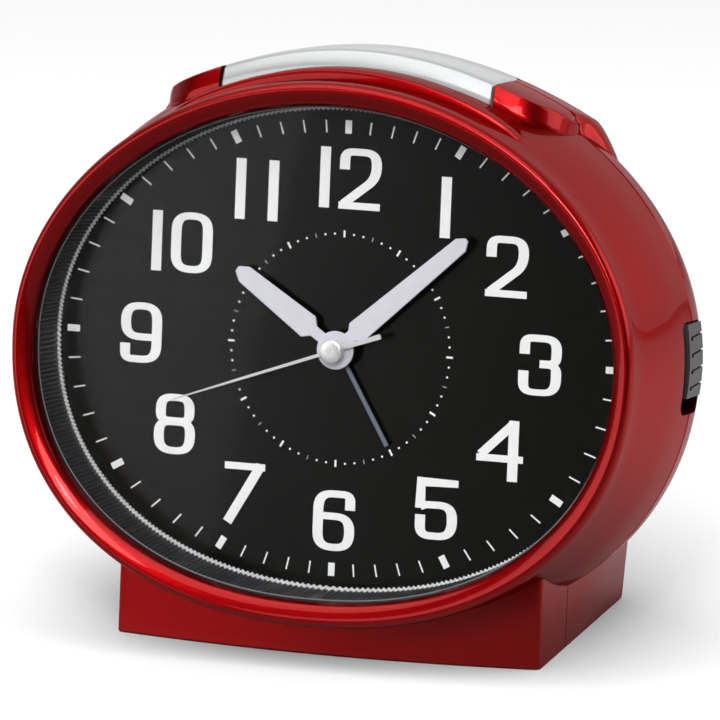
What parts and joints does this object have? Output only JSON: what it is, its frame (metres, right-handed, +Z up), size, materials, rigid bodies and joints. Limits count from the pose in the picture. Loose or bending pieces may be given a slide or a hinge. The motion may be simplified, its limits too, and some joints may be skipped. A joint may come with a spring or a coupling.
{
  "type": "alarm clock",
  "caption": "Free-standing bedside quartz alarm clock with an oval barrel case leaning on a block stand, a window over dial and hands, a snooze bar on top and a side alarm switch.",
  "frame": {"origin": "centre of the bounding box at the level the stand rests on", "axes": "+X to the right seen from the front, +Y towards the back, +Z up; the dial leans back 8 degrees"},
  "size_m": [0.1255, 0.0766, 0.1088],
  "materials": {
    "case_red": "deep metallic red lacquer over moulded plastic",
    "lens_clear": "clear polished window",
    "ring_grey": "dark smoky plastic with fine ribs",
    "dial_black": "gloss black with white printing",
    "inner_plastic": "moulded dark grey plastic",
    "hand_white": "pale lilac-white lacquer",
    "hand_blue": "grey-blue lacquer",
    "cap_silver": "brushed silver",
    "bar_silver": "fine silver metallic",
    "slider_grey": "satin dark grey plastic",
    "black_plastic": "satin black plastic",
    "gear_nylon": "natural milky plastic",
    "lamp_clear": "clear resin",
    "steel": "plated steel",
    "rotor_steel": "magnet steel",
    "screw_steel": "zinc-plated steel",
    "copper": "enamelled copper wire",
    "brass": "turned brass",
    "cell_wrap": "printed wrap on a steel can",
    "board_green": "green coated board",
    "capacitor_blue": "sleeved can"
  },
  "bodies": {
    "case": {"alarm_switch": "black_plastic", "battery_cell": "cell_wrap", "battery_holder": "black_plastic", "bezel": "case_red", "capacitor": "capacitor_blue", "case_screw_1": "screw_steel", "case_screw_2": "screw_steel", "case_screw_3": "screw_steel", "case_screw_4": "screw_steel", "circuit_board": "board_green", "contact_plate": "steel", "contact_spring": "steel", "control_chip": "black_plastic", "dial": "dial_black", "dial_frame": "inner_plastic", "front_case": "case_red", "lamp_left": "lamp_clear", "lamp_right": "lamp_clear", "lens": "lens_clear", "light_ring": "ring_grey", "motor_coil": "copper", "movement_back": "inner_plastic", "movement_front": "inner_plastic", "movement_screw_left": "screw_steel", "movement_screw_right": "screw_steel", "quartz_can": "steel", "rear_case": "case_red", "snooze_shelf": "inner_plastic", "snooze_spring_left": "steel", "snooze_spring_right": "steel", "snooze_switch": "black_plastic", "sounder": "black_plastic", "stator": "steel"},
    "alarm_slide": {"alarm_slider": "slider_grey", "alarm_switch_lever": "gear_nylon"},
    "snooze": {"snooze_bar": "bar_silver"},
    "plunger": {"snooze_plunger": "gear_nylon"},
    "second_train": {"seconds_wheel": "gear_nylon", "second_hand": "hand_white", "second_hand_cap": "cap_silver"},
    "third": {"third_wheel": "gear_nylon"},
    "centre": {"centre_wheel": "brass"},
    "fifth": {"fifth_wheel": "gear_nylon"},
    "motor_rotor": {"rotor": "rotor_steel"},
    "minute_train": {"cannon_pinion": "brass", "minute_hand": "hand_white"},
    "minute_gear": {"minute_wheel": "gear_nylon"},
    "hour_train": {"hour_wheel": "gear_nylon", "hour_hand": "hand_white"},
    "time_set": {"time_set_shaft": "gear_nylon", "time_set_knob": "black_plastic"},
    "alarm_train": {"alarm_wheel": "gear_nylon", "alarm_hand": "hand_blue"},
    "alarm_gear": {"alarm_idler": "gear_nylon"},
    "alarm_set": {"alarm_set_shaft": "gear_nylon", "alarm_set_knob": "black_plastic"},
    "door": {"battery_door": "case_red"}
  },
  "joints": [
    {"name": "snooze_press", "type": "slide", "parent": "case", "child": "snooze", "axis": [0, -0.1392, -0.9903], "range_m": [0, 0.0015], "stiffness_N_per_m": 400, "springref_m": -0.001, "deforming": ["snooze_spring_left", "snooze_spring_right"]},
    {"name": "plunger_press", "type": "slide", "parent": "case", "child": "plunger", "axis": [0, -0.1392, -0.9903], "range_m": [0, 0.0015]},
    {"name": "alarm_switch_slide", "type": "slide", "parent": "case", "child": "alarm_slide", "axis": [0, -0.1392, -0.9903], "range_m": [0, 0.003]},
    {"name": "second_turn", "type": "hinge", "parent": "case", "child": "second_train", "pos_m": [0, -0.01862, 0.05524], "axis": [0, -0.9903, 0.1392], "continuous": true},
    {"name": "third_turn", "type": "hinge", "parent": "case", "child": "third", "pos_m": [0, -0.02028, 0.04345], "axis": [0, -0.9903, 0.1392], "continuous": true},
    {"name": "centre_turn", "type": "hinge", "parent": "case", "child": "centre", "pos_m": [0, -0.01862, 0.05524], "axis": [0, -0.9903, 0.1392], "continuous": true},
    {"name": "fifth_turn", "type": "hinge", "parent": "case", "child": "fifth", "pos_m": [0, -0.01745, 0.06356], "axis": [0, -0.9903, 0.1392], "continuous": true},
    {"name": "rotor_turn", "type": "hinge", "parent": "case", "child": "motor_rotor", "pos_m": [0.0042, -0.01644, 0.07076], "axis": [0, -0.9903, 0.1392], "continuous": true},
    {"name": "minute_turn", "type": "hinge", "parent": "case", "child": "minute_train", "pos_m": [0, -0.01862, 0.05524], "axis": [0, -0.9903, 0.1392], "continuous": true},
    {"name": "minute_gear_turn", "type": "hinge", "parent": "case", "child": "minute_gear", "pos_m": [0.00624, -0.01812, 0.0588], "axis": [0, -0.9903, 0.1392], "continuous": true},
    {"name": "hour_turn", "type": "hinge", "parent": "case", "child": "hour_train", "pos_m": [0, -0.01862, 0.05524], "axis": [0, -0.9903, 0.1392], "continuous": true},
    {"name": "time_set_turn", "type": "hinge", "parent": "case", "child": "time_set", "pos_m": [0.01333, -0.01794, 0.06004], "axis": [0, -0.9903, 0.1392], "continuous": true},
    {"name": "alarm_turn", "type": "hinge", "parent": "case", "child": "alarm_train", "pos_m": [0, -0.01862, 0.05524], "axis": [0, -0.9903, 0.1392], "continuous": true},
    {"name": "alarm_gear_turn", "type": "hinge", "parent": "case", "child": "alarm_gear", "pos_m": [-0.01052, -0.01809, 0.05903], "axis": [0, -0.9903, 0.1392], "continuous": true},
    {"name": "alarm_set_turn", "type": "hinge", "parent": "case", "child": "alarm_set", "pos_m": [-0.01673, -0.01793, 0.06012], "axis": [0, -0.9903, 0.1392], "continuous": true},
    {"name": "battery_door_hinge", "type": "hinge", "parent": "case", "child": "door", "pos_m": [0, 0.0238, 0.00304], "axis": [-1, 0, 0], "range_deg": [0, 80]}
  ],
  "couplings": [
    {"joint": "plunger_press", "follows": "snooze_press", "ratio": 1},
    {"joint": "third_turn", "follows": "second_turn", "ratio": -0.13333},
    {"joint": "centre_turn", "follows": "second_turn", "ratio": 0.016667},
    {"joint": "fifth_turn", "follows": "second_turn", "ratio": -5},
    {"joint": "rotor_turn", "follows": "second_turn", "ratio": 30},
    {"joint": "minute_gear_turn", "follows": "minute_turn", "ratio": -0.33333},
    {"joint": "hour_turn", "follows": "minute_turn", "ratio": 0.083333},
    {"joint": "time_set_turn", "follows": "minute_turn", "ratio": 1},
    {"joint": "alarm_gear_turn", "follows": "alarm_turn", "ratio": -1.6667},
    {"joint": "alarm_set_turn", "follows": "alarm_turn", "ratio": 3.3333}
  ]
}
